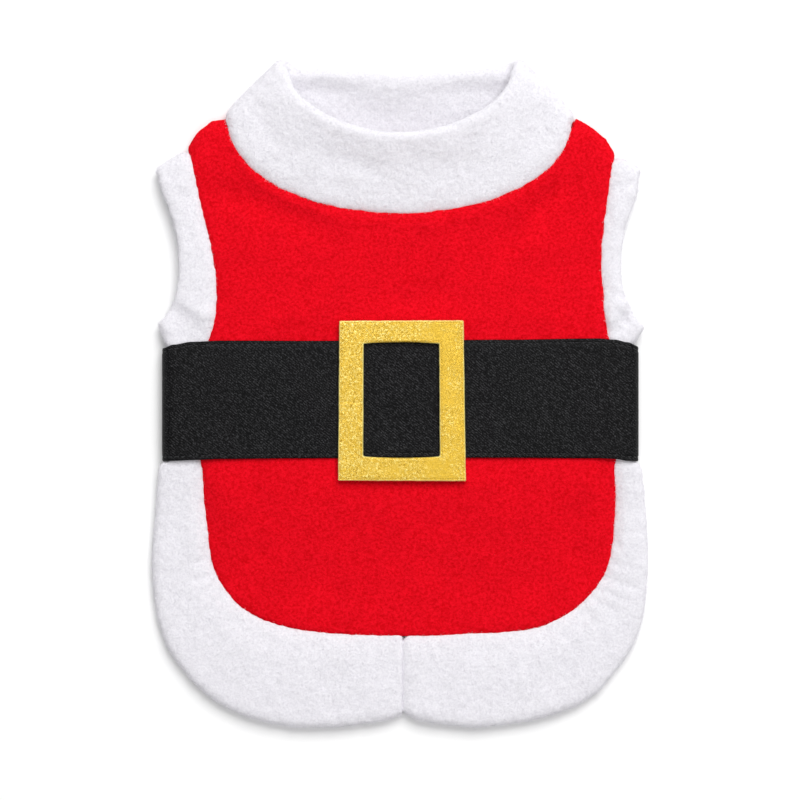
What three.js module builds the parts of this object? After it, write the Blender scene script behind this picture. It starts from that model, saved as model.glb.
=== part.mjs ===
// A pull-on fleece vest for a small dog, cut as a Santa suit, laid flat on its belly side with the back up.
// Millimetres. X runs to the wearer's right in the laid-out view, Y runs to the collar, Z is up.
// The origin is on the table, under the middle of the suit.

import * as THREE from "three";
import { mergeVertices } from "three/addons/utils/BufferGeometryUtils.js";

// Cloth and gaps
const FLEECE = 2.6; // wall of the two red panels
const SEAM_GAP = 0.5; // allowed between the curves of two edges that are sewn together
const LAYER_GAP = 0.35; // between pieces that lie on each other

// Belt: a 50 mm ribbon in one loop round the suit
const BELT_THICK = 1.3;
const BELT_UNDERSIDE = 8.95; // height of its upper run above the table
const BELT_END_LEFT = -100.9;
const BELT_END_RIGHT = 101.2;
const BELT_NEAR = 25; // the band of cloth that the belt squeezes, along Y
const BELT_FAR = -30;
const LIFT_NEAR = 31; // the belt's lower run lifts the underarm bands as far as this
const BELT_EASE = 8; // length over which the cloth rises again beside the belt
const BELT_LIFT = BELT_THICK + LAYER_GAP; // how far the belt's lower run lifts what lies on it

// Plush bands round the armholes, each band a folded ring
const ARM_PLUSH = 4.6;
const ARM_PLUSH_UNDER_BELT = 3.3;
const ARM_SEAM_PLUSH = 3;

// Plush binding of the tail
const HEM_PLUSH = 7;
const HEM_PLUSH_UNDER_BELT = 3.7;
const HEM_SEAM_PLUSH = 3.4;
const HEM_PERCH = 4.6; // its underside where it starts on top of the belly panel
const HEM_PERCH_END = -25; // from here it comes down to the table
const HEM_DOWN = -47;
const HEM_SEAM_X = 1.75; // the centre seam of the binding

// Collar: one ring of doubled plush, its two halves folded flat on each other
const COLLAR_PLUSH = 6;
const COLLAR_SEAM_PLUSH = 4.4;
const COLLAR_FOLD = { x: -0.687, y: 0.726 }; // outward direction of the folded left side
const COLLAR_BOW = 1.6; // how far the upper half rounds up between seam and rim

// Each curve is half of a superellipse: y = sill - depth * (1 - |x / half|^power)^(1 / power)
const COLLAR_CURVES = {
  neckline: { half: 71.2, sill: 114.2, depth: 36.6, power: 2 },
  rim: { half: 46.4, sill: 136.3, depth: 25.4, power: 1.8 },
  throat: { half: 69.6, sill: 116, depth: 14.3, power: 2 },
  farRim: { half: 45.2, sill: 140.3, depth: 3.7, power: 1.5 },
};

// Height of the middle of the collar's wall: at the folded sides, and at the middle of each half
const COLLAR_HEIGHTS = {
  neckline: { side: 8.6, middle: 7.5 },
  rim: { side: 10.8, middle: 15.2 },
  throat: { side: 2.4, middle: 2.2 },
  farRim: { side: 3, middle: 3 },
};

// Red panels: height of the middle of the wall
const BELLY_MID = FLEECE / 2;
const BACK_HIGH = 7.6; // where the back lies on the belly
const BACK_PRESSED = 7.1; // under the belt
const BACK_LOW = 3.9; // on the tail, past the belly panel
const BACK_SETTLES = { from: -34, to: -84 }; // along Y, from high to low
const ROLL = 15; // width of the rounded border of the back
const NECK_EDGE = 7.2;
const ARM_EDGE = 6.9;
const SHOULDER_EDGE = 4.7;
const HEM_EDGE_LOW = 3.3;

// Buckle: a flat frame on the belt
const BUCKLE_THICK = 2;
const BUCKLE_BEVEL = 0.25;
const BUCKLE_BOW = 0.6; // the window's short edges bow outwards
const BUCKLE_OUTER = [
  { x: -25.6, y: 31.1 },
  { x: 26.8, y: 31.3 },
  { x: 27.8, y: -36.5 },
  { x: -26.1, y: -36.3 },
];
const BUCKLE_WINDOW = [
  { x: -15.4, y: 21.5 },
  { x: 16.5, y: 21.5 },
  { x: 16.8, y: -26.1 },
  { x: -15.5, y: -26.1 },
];

// Sections of the armhole bands, from shoulder to underarm: the red seam and the free edge
const ARM_SECTIONS = {
  left: [
    { seamX: -89, seamY: 99.6, edgeX: -102.4, edgeY: 91.6 },
    { seamX: -87, seamY: 89.5, edgeX: -101.3, edgeY: 86.4 },
    { seamX: -84.2, seamY: 77.5, edgeX: -97.6, edgeY: 76.8 },
    { seamX: -81, seamY: 64.1, edgeX: -94.7, edgeY: 64.7 },
    { seamX: -79, seamY: 52, edgeX: -94.1, edgeY: 53.2 },
    { seamX: -78.2, seamY: 41, edgeX: -94.9, edgeY: 45 },
    { seamX: -79.4, seamY: 31.2, edgeX: -95.9, edgeY: 40 },
    { seamX: -82, seamY: 21.5, edgeX: -97.8, edgeY: 36.4 },
    { seamX: -86.8, seamY: 14.5, edgeX: -99.6, edgeY: 33.4 },
    { seamX: -92.2, seamY: 12.6, edgeX: -100.4, edgeY: 31.8 },
  ],
  right: [
    { seamX: 90.4, seamY: 97.2, edgeX: 101, edgeY: 91.2 },
    { seamX: 89.3, seamY: 88.8, edgeX: 101.2, edgeY: 86.4 },
    { seamX: 88, seamY: 79.5, edgeX: 98.4, edgeY: 79 },
    { seamX: 86.8, seamY: 69.5, edgeX: 95.3, edgeY: 69 },
    { seamX: 86.1, seamY: 58.5, edgeX: 94, edgeY: 58.5 },
    { seamX: 86.5, seamY: 47.5, edgeX: 94.4, edgeY: 48 },
    { seamX: 87.2, seamY: 38, edgeX: 95.8, edgeY: 42 },
    { seamX: 88.2, seamY: 28.5, edgeX: 98.1, edgeY: 37.4 },
    { seamX: 89.8, seamY: 20.5, edgeX: 100.2, edgeY: 33.6 },
    { seamX: 92.2, seamY: 17, edgeX: 102, edgeY: 30.8 },
  ],
};

// Sections of the tail binding, from the side to the centre seam: the red seam and the free edge
const HEM_SECTIONS = {
  left: [
    { seamX: -88.8, seamY: -17, edgeX: -98.2, edgeY: -17.6 },
    { seamX: -85.3, seamY: -25.5, edgeX: -98.1, edgeY: -27 },
    { seamX: -84.5, seamY: -32, edgeX: -101.8, edgeY: -31.6 },
    { seamX: -83.6, seamY: -46.1, edgeX: -103.9, edgeY: -48 },
    { seamX: -82, seamY: -61.4, edgeX: -105.3, edgeY: -64.5 },
    { seamX: -79.6, seamY: -74, edgeX: -104.9, edgeY: -83 },
    { seamX: -74.6, seamY: -83.6, edgeX: -101.3, edgeY: -101.5 },
    { seamX: -67, seamY: -91.6, edgeX: -92.5, edgeY: -117.3 },
    { seamX: -56.5, seamY: -96.8, edgeX: -76.5, edgeY: -131.8 },
    { seamX: -43, seamY: -100.3, edgeX: -53.5, edgeY: -140.4 },
    { seamX: -27.5, seamY: -102, edgeX: -31.5, edgeY: -141.6 },
    { seamX: -12, seamY: -102.8, edgeX: -12.6, edgeY: -139.9 },
    { seamX: -3.5, seamY: -103, edgeX: -4, edgeY: -138.2 },
    { seamX: 1.75, seamY: -103.1, edgeX: 1.75, edgeY: -135.6 },
  ],
  right: [
    { seamX: 93.2, seamY: -17, edgeX: 98.4, edgeY: -17.6 },
    { seamX: 92.1, seamY: -25.5, edgeX: 98.3, edgeY: -27 },
    { seamX: 91.7, seamY: -32, edgeX: 102.4, edgeY: -31.8 },
    { seamX: 92, seamY: -47, edgeX: 104.4, edgeY: -48 },
    { seamX: 91.2, seamY: -60.5, edgeX: 105.4, edgeY: -62.5 },
    { seamX: 88.7, seamY: -73.8, edgeX: 105.2, edgeY: -79.5 },
    { seamX: 82.6, seamY: -83.8, edgeX: 102.2, edgeY: -99 },
    { seamX: 73.5, seamY: -92.6, edgeX: 93.5, edgeY: -115.5 },
    { seamX: 61.5, seamY: -98.6, edgeX: 78.5, edgeY: -130.8 },
    { seamX: 46, seamY: -101.4, edgeX: 55.5, edgeY: -138.6 },
    { seamX: 29, seamY: -102.3, edgeX: 32.5, edgeY: -141.6 },
    { seamX: 14, seamY: -102.8, edgeX: 14.5, edgeY: -139.9 },
    { seamX: 6, seamY: -103, edgeX: 6.4, edgeY: -137.9 },
    { seamX: 1.75, seamY: -103.1, edgeX: 1.75, edgeY: -135.6 },
  ],
};
const HEM_CORNER = 7; // the section of the binding at the lower corners of the back panel

// Shoulder folds of the panels, from the armhole band to the collar
const SHOULDERS = {
  left: [
    { x: -90, y: 104.2 },
    { x: -88.4, y: 108.2 },
    { x: -85.6, y: 111.2 },
    { x: -80.8, y: 115 },
    { x: -77, y: 118 },
    { x: -74.6, y: 118.1 },
  ],
  right: [
    { x: 91.2, y: 101.6 },
    { x: 90.4, y: 104.8 },
    { x: 88.2, y: 107.2 },
    { x: 83.2, y: 111.4 },
    { x: 78, y: 115.6 },
    { x: 74.8, y: 117.2 },
  ],
};

// Side seams under the belt, and the plain lower edge of the belly panel
const SIDE_SEAMS = {
  left: [
    { x: -95.2, y: 8 },
    { x: -95.6, y: 0 },
    { x: -95.2, y: -8 },
  ],
  right: [
    { x: 95.4, y: 9 },
    { x: 95.8, y: 0 },
    { x: 95.6, y: -8 },
  ],
};
const BELLY_EDGE = [
  { x: -91, y: -14 },
  { x: -84, y: -22 },
  { x: -60, y: -32 },
  { x: -30, y: -37 },
  { x: 0, y: -38 },
  { x: 30, y: -37 },
  { x: 60, y: -32 },
  { x: 84, y: -22 },
  { x: 92, y: -14 },
];

// Edges of the belt's upper run, from its left end to its right end
const BELT_EDGES = [
  { x: -95.7, near: 21.1, far: -28 },
  { x: -88, near: 22.3, far: -27.7 },
  { x: -75, near: 22.8, far: -27.2 },
  { x: -42, near: 22.7, far: -26.9 },
  { x: 0, near: 22.8, far: -26.7 },
  { x: 45, near: 23.2, far: -26.7 },
  { x: 84, near: 23.7, far: -26.9 },
  { x: 91, near: 23.2, far: -27.2 },
  { x: 96, near: 22.1, far: -28 },
];
const BELT_END_DROP = 1.6; // how far the near edge draws in where the belt turns under

// Soft troughs in the back panel: middle, length, turn from X in degrees, half width and depth
const TROUGHS = [
  { x: -56, y: 79, length: 52, turn: -18, width: 7, depth: 0.9 },
  { x: 58, y: 76, length: 46, turn: 40, width: 7, depth: 0.9 },
  { x: 75, y: -60, length: 36, turn: 88, width: 6, depth: 0.7 },
  { x: 6, y: 44, length: 34, turn: 4, width: 7, depth: 0.5 },
];

// Colours
const RED = 0xe00514;
const WHITE = 0xeceef2;
const BLACK = 0x1b1b1c;
const GOLD = 0xd9ae3c;

const smooth = (t) => THREE.MathUtils.smoothstep(t, 0, 1);

// 1 where the belt squeezes or lifts the cloth, 0 away from it
function squeeze(y, near = BELT_NEAR) {
  const above = smooth((near + BELT_EASE - y) / BELT_EASE);
  const below = smooth((y - BELT_FAR + BELT_EASE) / BELT_EASE);
  return above * below;
}

const lift = (y) => BELT_LIFT * squeeze(y, LIFT_NEAR);

// A smooth curve through rows, as a function of 0 to 1
function curveThrough(points) {
  const curve = new THREE.CatmullRomCurve3(points, false, "centripetal");
  return (t) => curve.getPoint(t);
}

// The same curve, stepped evenly along its length
function evenCurve(points) {
  const curve = new THREE.CatmullRomCurve3(points, false, "centripetal");
  curve.arcLengthDivisions = 400;
  return (t) => curve.getPointAt(t);
}

// Joins closed loops of equal count into one skin. An open run of loops gets flat ends.
function loft(loops, closed) {
  const count = loops[0].length;
  const points = loops.flat();
  const faces = [];
  const spans = closed ? loops.length : loops.length - 1;
  for (let i = 0; i < spans; i += 1) {
    const next = (i + 1) % loops.length;
    for (let k = 0; k < count; k += 1) {
      const k2 = (k + 1) % count;
      faces.push([i * count + k, next * count + k, next * count + k2]);
      faces.push([i * count + k, next * count + k2, i * count + k2]);
    }
  }
  if (!closed) {
    const last = (loops.length - 1) * count;
    for (let k = 1; k < count - 1; k += 1) {
      faces.push([0, k, k + 1]);
      faces.push([last, last + k + 1, last + k]);
    }
  }
  return skin(points, faces);
}

// A closed mesh from points and faces, turned so that its faces point out
function skin(points, faces) {
  let volume = 0;
  for (const [a, b, c] of faces) {
    volume += points[a].dot(new THREE.Vector3().crossVectors(points[b], points[c]));
  }
  const turned = volume < 0 ? faces.map(([a, b, c]) => [a, c, b]) : faces;
  const geometry = new THREE.BufferGeometry();
  const numbers = points.flatMap((p) => [p.x, p.y, p.z]);
  geometry.setAttribute("position", new THREE.Float32BufferAttribute(numbers, 3));
  geometry.setIndex(turned.flat());
  const merged = mergeVertices(geometry, 1e-4);
  merged.computeVertexNormals();
  return merged;
}

// One section of a plush band: thin at the seam, full in the middle, round at the free edge.
// The outer face comes first, then the round edge, then the inner face.
const PLUSH_STEPS = [0, 0.1, 0.3, 0.62];
const EDGE_TURNS = [0, 40, 90, 140, 180];

function plushSection(seam, edge, up, plush, seamPlush, bow = 0) {
  const across = new THREE.Vector3().subVectors(edge, seam);
  const width = across.length();
  across.normalize();
  const round = plush / 2;
  const flat = width - round;
  const plan = new THREE.Vector3(across.x, across.y, 0).normalize();
  const square = up.clone().addScaledVector(plan, -up.dot(plan)).normalize();
  const at = (along, high, side) => {
    const rise = bow * Math.sin((Math.PI * along) / width);
    const point = seam.clone().addScaledVector(across, along);
    point.addScaledVector(along > 0 ? up : square, high * side + rise);
    point.z = Math.max(point.z, 0);
    return point;
  };
  const half = (share) => {
    const puff = Math.sin((Math.PI / 2) * Math.min(1, share / PLUSH_STEPS[2]));
    return seamPlush / 2 + (round - seamPlush / 2) * puff;
  };
  const face = (side) => PLUSH_STEPS.map((share) => at(flat * share, half(share), side));
  const tip = EDGE_TURNS.map((degrees) => {
    const turn = THREE.MathUtils.degToRad(degrees);
    return at(flat + round * Math.sin(turn), round * Math.cos(turn), 1);
  });
  return [...face(1), ...tip, ...face(-1).reverse()];
}

// Stations of a ring folded flat: the upper run, a round turn, the lower run and a turn back
function foldedRing(upper, lower, outwardEnd, outwardStart, turnSteps) {
  const turn = (from, to, outward, share) => {
    const angle = Math.PI * share;
    const station = {};
    for (const line of ["seam", "edge"]) {
      const middle = from[line].clone().lerp(to[line], 0.5);
      const arm = from[line].clone().sub(to[line]).multiplyScalar(0.5);
      const reach = Math.abs(arm.z);
      station[line] = middle.addScaledVector(arm, Math.cos(angle));
      station[line].addScaledVector(outward, reach * Math.sin(angle));
    }
    return station;
  };
  const shares = Array.from({ length: turnSteps }, (_, i) => (i + 1) / (turnSteps + 1));
  const back = [...lower].reverse();
  const first = { up: upper[0], down: lower[0] };
  const last = { up: upper.at(-1), down: lower.at(-1) };
  const endTurn = shares.map((share) => turn(last.up, last.down, outwardEnd, share));
  const startTurn = shares.map((share) => turn(first.down, first.up, outwardStart, share));
  return [...upper, ...endTurn, ...back, ...startTurn];
}

// The outward normal of a ring of stations at one of them
function ringNormal(stations, i, sign) {
  const next = stations[(i + 1) % stations.length];
  const last = stations[(i + stations.length - 1) % stations.length];
  const along = new THREE.Vector3().subVectors(next.seam, last.seam).normalize();
  along.add(new THREE.Vector3().subVectors(next.edge, last.edge).normalize());
  const across = new THREE.Vector3().subVectors(stations[i].edge, stations[i].seam);
  return new THREE.Vector3().crossVectors(along, across).normalize().multiplyScalar(sign);
}

// Armhole band

const armPlush = (y) => THREE.MathUtils.lerp(ARM_PLUSH, ARM_PLUSH_UNDER_BELT, squeeze(y));
const armLower = (y, plush) => plush / 2 + lift(y);
const armUpper = (y, plush) => plush * 1.5 + LAYER_GAP + lift(y);

function armholeTrim(side) {
  const rows = ARM_SECTIONS[side];
  const seam = curveThrough(rows.map((r) => new THREE.Vector3(r.seamX, r.seamY, 0)));
  const edge = curveThrough(rows.map((r) => new THREE.Vector3(r.edgeX, r.edgeY, 0)));
  const run = (steps, height) =>
    Array.from({ length: steps + 1 }, (_, i) => {
      const station = { seam: seam(i / steps), edge: edge(i / steps) };
      const plush = armPlush(station.seam.y);
      station.seam.z = height(station.seam.y, plush);
      station.edge.z = height(station.edge.y, plush);
      return station;
    });
  const mirror = side === "left" ? -1 : 1;
  const outward = (row, way) => {
    const x = row.edgeY - row.seamY;
    const y = row.seamX - row.edgeX;
    return new THREE.Vector3(x, y, 0).normalize().multiplyScalar(way * mirror);
  };
  const ring = foldedRing(
    run(ARM_STEPS, armUpper),
    run(ARM_STEPS, armLower),
    outward(rows.at(-1), 1),
    outward(rows[0], -1),
    TURN_STEPS,
  );
  const loops = ring.map((station, i) => {
    const normal = ringNormal(ring, i, mirror);
    const plush = armPlush(station.seam.y);
    return plushSection(station.seam, station.edge, normal, plush, ARM_SEAM_PLUSH);
  });
  return loft(loops, true);
}
const ARM_STEPS = 20;
const TURN_STEPS = 5;

// Tail binding

function hemSole(y) {
  return HEM_PERCH * smooth((y - HEM_DOWN) / (HEM_PERCH_END - HEM_DOWN));
}
function hemPlush(y) {
  const share = smooth((y - HEM_DOWN) / (HEM_PERCH_END - HEM_DOWN));
  return THREE.MathUtils.lerp(HEM_PLUSH, HEM_PLUSH_UNDER_BELT, share);
}
const hemMiddle = (y) => hemSole(y) + hemPlush(y) / 2;

function hemTrim(side) {
  const rows = HEM_SECTIONS[side];
  const seam = curveThrough(rows.map((r) => new THREE.Vector3(r.seamX, r.seamY, 0)));
  const edge = curveThrough(rows.map((r) => new THREE.Vector3(r.edgeX, r.edgeY, 0)));
  const toSide = side === "left" ? -1 : 1;
  const up = new THREE.Vector3(0, 0, 1);
  const loops = Array.from({ length: HEM_STEPS + 1 }, (_, i) => {
    const start = seam(i / HEM_STEPS);
    const end = edge(i / HEM_STEPS);
    for (const point of [start, end]) {
      const reach = Math.max((point.x - HEM_SEAM_X) * toSide, SEAM_GAP / 2);
      point.x = HEM_SEAM_X + toSide * reach;
      point.z = hemMiddle(point.y);
    }
    return plushSection(start, end, up, hemPlush(start.y), HEM_SEAM_PLUSH);
  });
  return loft(loops, false);
}
const HEM_STEPS = 32;

// Collar

function neckCurve({ half, sill, depth, power }, share) {
  const x = -half * Math.cos(Math.PI * share);
  const dip = (1 - Math.abs(x / half) ** power) ** (1 / power);
  return { x, y: sill - depth * (Number.isFinite(dip) ? dip : 0) };
}

function collarPoint(name, share) {
  const { x, y } = neckCurve(COLLAR_CURVES[name], share);
  const { side, middle } = COLLAR_HEIGHTS[name];
  const z = THREE.MathUtils.lerp(side, middle, Math.sin(Math.PI * share));
  return new THREE.Vector3(x, y, z);
}

function collar() {
  const run = (seamName, edgeName) =>
    Array.from({ length: COLLAR_STEPS + 1 }, (_, i) => ({
      seam: collarPoint(seamName, i / COLLAR_STEPS),
      edge: collarPoint(edgeName, i / COLLAR_STEPS),
    }));
  const ring = foldedRing(
    run("neckline", "rim"),
    run("throat", "farRim"),
    new THREE.Vector3(-COLLAR_FOLD.x, COLLAR_FOLD.y, 0),
    new THREE.Vector3(COLLAR_FOLD.x, COLLAR_FOLD.y, 0),
    TURN_STEPS,
  );
  const loops = ring.map((station, i) => {
    const normal = ringNormal(ring, i, -1);
    const bow = i <= COLLAR_STEPS ? COLLAR_BOW * Math.sin((Math.PI * i) / COLLAR_STEPS) : 0;
    return plushSection(
      station.seam,
      station.edge,
      normal,
      COLLAR_PLUSH,
      COLLAR_SEAM_PLUSH,
      bow,
    );
  });
  return loft(loops, true);
}
const COLLAR_STEPS = 26;

// Red panels

// A patch between four boundary curves, each a function of 0 to 1
function coons({ top, bottom, left, right }, u, v) {
  const point = new THREE.Vector3();
  point.addScaledVector(top(u), 1 - v);
  point.addScaledVector(bottom(u), v);
  point.addScaledVector(left(v), 1 - u);
  point.addScaledVector(right(v), u);
  point.addScaledVector(top(0), -(1 - u) * (1 - v));
  point.addScaledVector(top(1), -u * (1 - v));
  point.addScaledVector(bottom(0), -(1 - u) * v);
  point.addScaledVector(bottom(1), -u * v);
  return point;
}

// A wall of even thickness round a grid of points, cut square at its edges
function wall(grid, thick) {
  const rows = grid.length;
  const columns = grid[0].length;
  const normalAt = (j, i) => {
    const onEdge = j === 0 || i === 0 || j === rows - 1 || i === columns - 1;
    if (onEdge) return new THREE.Vector3(0, 0, 1);
    const along = new THREE.Vector3().subVectors(grid[j][i + 1], grid[j][i - 1]);
    const down = new THREE.Vector3().subVectors(grid[j + 1][i], grid[j - 1][i]);
    return new THREE.Vector3().crossVectors(down, along).normalize();
  };
  const points = [];
  for (const side of [1, -1]) {
    for (let j = 0; j < rows; j += 1) {
      for (let i = 0; i < columns; i += 1) {
        points.push(grid[j][i].clone().addScaledVector(normalAt(j, i), (side * thick) / 2));
      }
    }
  }
  const layer = rows * columns;
  const faces = [];
  for (let j = 0; j < rows - 1; j += 1) {
    for (let i = 0; i < columns - 1; i += 1) {
      const a = j * columns + i;
      const b = a + columns;
      faces.push([a, b, b + 1], [a, b + 1, a + 1]);
      faces.push([layer + a, layer + b + 1, layer + b], [layer + a, layer + a + 1, layer + b + 1]);
    }
  }
  const rim = [];
  for (let i = 0; i < columns - 1; i += 1) rim.push(i);
  for (let j = 0; j < rows - 1; j += 1) rim.push(j * columns + columns - 1);
  for (let i = columns - 1; i > 0; i -= 1) rim.push((rows - 1) * columns + i);
  for (let j = rows - 1; j > 0; j -= 1) rim.push(j * columns);
  rim.forEach((a, k) => {
    const b = rim[(k + 1) % rim.length];
    faces.push([a, b, layer + b], [a, layer + b, layer + a]);
  });
  return skin(points, faces);
}

const NUDGE = 1e-4;
const NECK_GAP = SEAM_GAP + 0.25;

function necklinePoints(name, height) {
  const shares = [0.02, 0.06, 0.12, 0.2, 0.3, 0.4, 0.5, 0.6, 0.7, 0.8, 0.88, 0.94, 0.98];
  return shares.map((share) => {
    const { x, y } = neckCurve(COLLAR_CURVES[name], share);
    const ahead = neckCurve(COLLAR_CURVES[name], share + NUDGE);
    const away = new THREE.Vector3(ahead.y - y, x - ahead.x, 0).setLength(NECK_GAP);
    return new THREE.Vector3(x, y, height).add(away);
  });
}

// The upper border of a panel: shoulder, neckline, shoulder
function upperBorder(name, neckHeight, shoulderHeight) {
  const shoulder = (rows) => rows.map((p) => new THREE.Vector3(p.x, p.y, shoulderHeight));
  const left = shoulder(SHOULDERS.left);
  const right = shoulder(SHOULDERS.right).reverse();
  return evenCurve([...left, ...necklinePoints(name, neckHeight), ...right]);
}

// The side border of a panel down to the side seam, clear of the armhole band
function armBorder(side, height, endHeight) {
  const inward = side === "left" ? SEAM_GAP : -SEAM_GAP;
  const shoulder = SHOULDERS[side][0];
  const rows = ARM_SECTIONS[side].slice(0, -1);
  const seams = SIDE_SEAMS[side];
  return [
    new THREE.Vector3(shoulder.x, shoulder.y, endHeight),
    ...rows.map((r) => new THREE.Vector3(r.seamX + inward, r.seamY - SEAM_GAP / 2, height)),
    ...seams.map((p) => new THREE.Vector3(p.x, p.y, height)),
  ];
}

function backHeight(y) {
  const share = smooth((y - BACK_SETTLES.to) / (BACK_SETTLES.from - BACK_SETTLES.to));
  const open = THREE.MathUtils.lerp(BACK_LOW, BACK_HIGH, share);
  return open - (BACK_HIGH - BACK_PRESSED) * squeeze(y);
}

function troughDepth(x, y) {
  return TROUGHS.reduce((sum, trough) => {
    const turn = THREE.MathUtils.degToRad(trough.turn);
    const dx = x - trough.x;
    const dy = y - trough.y;
    const along = (dx * Math.cos(turn) + dy * Math.sin(turn)) / (trough.length / 2);
    const across = (dy * Math.cos(turn) - dx * Math.sin(turn)) / trough.width;
    return sum + trough.depth * Math.exp(-(along ** 4) - across ** 2);
  }, 0);
}

function backPanel() {
  const hem = (side) => {
    const inward = side === "left" ? SEAM_GAP : -SEAM_GAP;
    return HEM_SECTIONS[side].map(
      (r) => new THREE.Vector3(r.seamX + inward, r.seamY + SEAM_GAP, hemEdge(r.seamY)),
    );
  };
  const hemEdge = (y) => Math.max(hemMiddle(y), HEM_EDGE_LOW);
  const sideOf = (side) =>
    evenCurve([
      ...armBorder(side, ARM_EDGE, SHOULDER_EDGE),
      ...hem(side).slice(0, HEM_CORNER + 1),
    ]);
  const bottomLeft = hem("left").slice(HEM_CORNER, -1);
  const bottomRight = hem("right").slice(HEM_CORNER, -1).reverse();
  const borders = {
    top: upperBorder("neckline", NECK_EDGE, SHOULDER_EDGE),
    bottom: evenCurve([...bottomLeft, ...bottomRight]),
    left: sideOf("left"),
    right: sideOf("right"),
  };
  const grid = panelGrid(borders, BACK_ROWS, BACK_COLUMNS);
  for (let j = 0; j < BACK_ROWS; j += 1) {
    for (let i = 0; i < BACK_COLUMNS; i += 1) {
      const point = grid[j][i];
      const width = grid[j][0].distanceTo(grid[j][BACK_COLUMNS - 1]);
      const height = grid[0][i].distanceTo(grid[BACK_ROWS - 1][i]);
      const fromSide = (Math.min(i, BACK_COLUMNS - 1 - i) / (BACK_COLUMNS - 1)) * width;
      const fromEnd = (Math.min(j, BACK_ROWS - 1 - j) / (BACK_ROWS - 1)) * height;
      const rise = smoothRise(fromSide / ROLL) * smoothRise(fromEnd / ROLL);
      const inside = backHeight(point.y) - troughDepth(point.x, point.y);
      point.z = THREE.MathUtils.lerp(point.z, inside, rise);
    }
  }
  return wall(grid, FLEECE);
}
const BACK_ROWS = 40;
const BACK_COLUMNS = 30;
const smoothRise = (t) => Math.sin((Math.PI / 2) * Math.min(1, t));

function panelGrid(borders, rows, columns) {
  return Array.from({ length: rows }, (_, j) =>
    Array.from({ length: columns }, (__, i) => coons(borders, i / (columns - 1), j / (rows - 1))),
  );
}

function bellyPanel() {
  const borders = {
    top: upperBorder("throat", BELLY_MID, BELLY_MID),
    bottom: evenCurve(BELLY_EDGE.map((p) => new THREE.Vector3(p.x, p.y, BELLY_MID))),
    left: bellySide("left", BELLY_EDGE[0]),
    right: bellySide("right", BELLY_EDGE.at(-1)),
  };
  const grid = panelGrid(borders, BELLY_ROWS, BELLY_COLUMNS);
  for (const row of grid) {
    for (const point of row) point.z = BELLY_MID + lift(point.y);
  }
  return wall(grid, FLEECE);
}
const BELLY_ROWS = 24;
const BELLY_COLUMNS = 26;

function bellySide(side, corner) {
  const end = new THREE.Vector3(corner.x, corner.y, BELLY_MID);
  return evenCurve([...armBorder(side, BELLY_MID, BELLY_MID), end]);
}

// Belt

function belt() {
  const near = curveThrough(BELT_EDGES.map((r) => new THREE.Vector3(r.x, r.near, 0)));
  const far = curveThrough(BELT_EDGES.map((r) => new THREE.Vector3(r.x, r.far, 0)));
  const run = (steps, z) =>
    Array.from({ length: steps + 1 }, (_, i) => {
      const station = { seam: far(i / steps), edge: near(i / steps) };
      station.seam.z = z;
      station.edge.z = z;
      return station;
    });
  const ring = foldedRing(
    run(BELT_STEPS, BELT_UNDERSIDE + BELT_THICK / 2),
    run(BELT_STEPS, BELT_THICK / 2),
    new THREE.Vector3(1, 0, 0),
    new THREE.Vector3(-1, 0, 0),
    BELT_TURN_STEPS,
  );
  const loops = ring.map((station, i) => {
    const { seam, edge } = station;
    const middle = (BELT_UNDERSIDE + BELT_THICK) / 2;
    const turned = 1 - Math.abs(edge.z - middle) / (middle - BELT_THICK / 2);
    edge.y -= BELT_END_DROP * turned;
    const normal = ringNormal(ring, i, 1);
    const lines = BELT_LINES.map((share) => seam.clone().lerp(edge, share));
    const face = (way) => lines.map((p) => p.clone().addScaledVector(normal, way));
    return [...face(BELT_THICK / 2), ...face(-BELT_THICK / 2).reverse()];
  });
  const geometry = loft(loops, true);
  const ends = new THREE.Box3().setFromBufferAttribute(geometry.attributes.position);
  const scale = (BELT_END_RIGHT - BELT_END_LEFT) / (ends.max.x - ends.min.x);
  geometry.translate(-(ends.max.x + ends.min.x) / 2, 0, 0);
  geometry.scale(scale, 1, 1);
  geometry.translate((BELT_END_RIGHT + BELT_END_LEFT) / 2, 0, 0);
  return geometry;
}
const BELT_STEPS = 18;
const BELT_TURN_STEPS = 7;
const BELT_LINES = [0, 0.06, 0.5, 0.94, 1];

// Buckle

function buckle() {
  const shape = new THREE.Shape(BUCKLE_OUTER.map((p) => new THREE.Vector2(p.x, p.y)));
  const [nearLeft, nearRight, farRight, farLeft] = BUCKLE_WINDOW;
  const window = new THREE.Path();
  const middle = (a, b) => (a.x + b.x) / 2;
  window.moveTo(nearLeft.x, nearLeft.y);
  window.lineTo(farLeft.x, farLeft.y);
  const low = farLeft.y - 2 * BUCKLE_BOW;
  window.quadraticCurveTo(middle(farLeft, farRight), low, farRight.x, farRight.y);
  window.lineTo(nearRight.x, nearRight.y);
  const high = nearLeft.y + 2 * BUCKLE_BOW;
  window.quadraticCurveTo(middle(nearLeft, nearRight), high, nearLeft.x, nearLeft.y);
  shape.holes.push(window);
  const geometry = new THREE.ExtrudeGeometry(shape, {
    depth: BUCKLE_THICK - 2 * BUCKLE_BEVEL,
    curveSegments: 8,
    bevelEnabled: true,
    bevelThickness: BUCKLE_BEVEL,
    bevelSize: BUCKLE_BEVEL,
    bevelOffset: -BUCKLE_BEVEL,
    bevelSegments: 1,
  });
  const seat = BELT_UNDERSIDE + BELT_THICK + LAYER_GAP;
  geometry.translate(0, 0, seat + BUCKLE_BEVEL);
  return geometry;
}

function piece(name, geometry, colour, roughness, metalness = 0) {
  const material = new THREE.MeshStandardMaterial({ color: colour, roughness, metalness });
  const mesh = new THREE.Mesh(geometry, material);
  mesh.name = name;
  return mesh;
}

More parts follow.
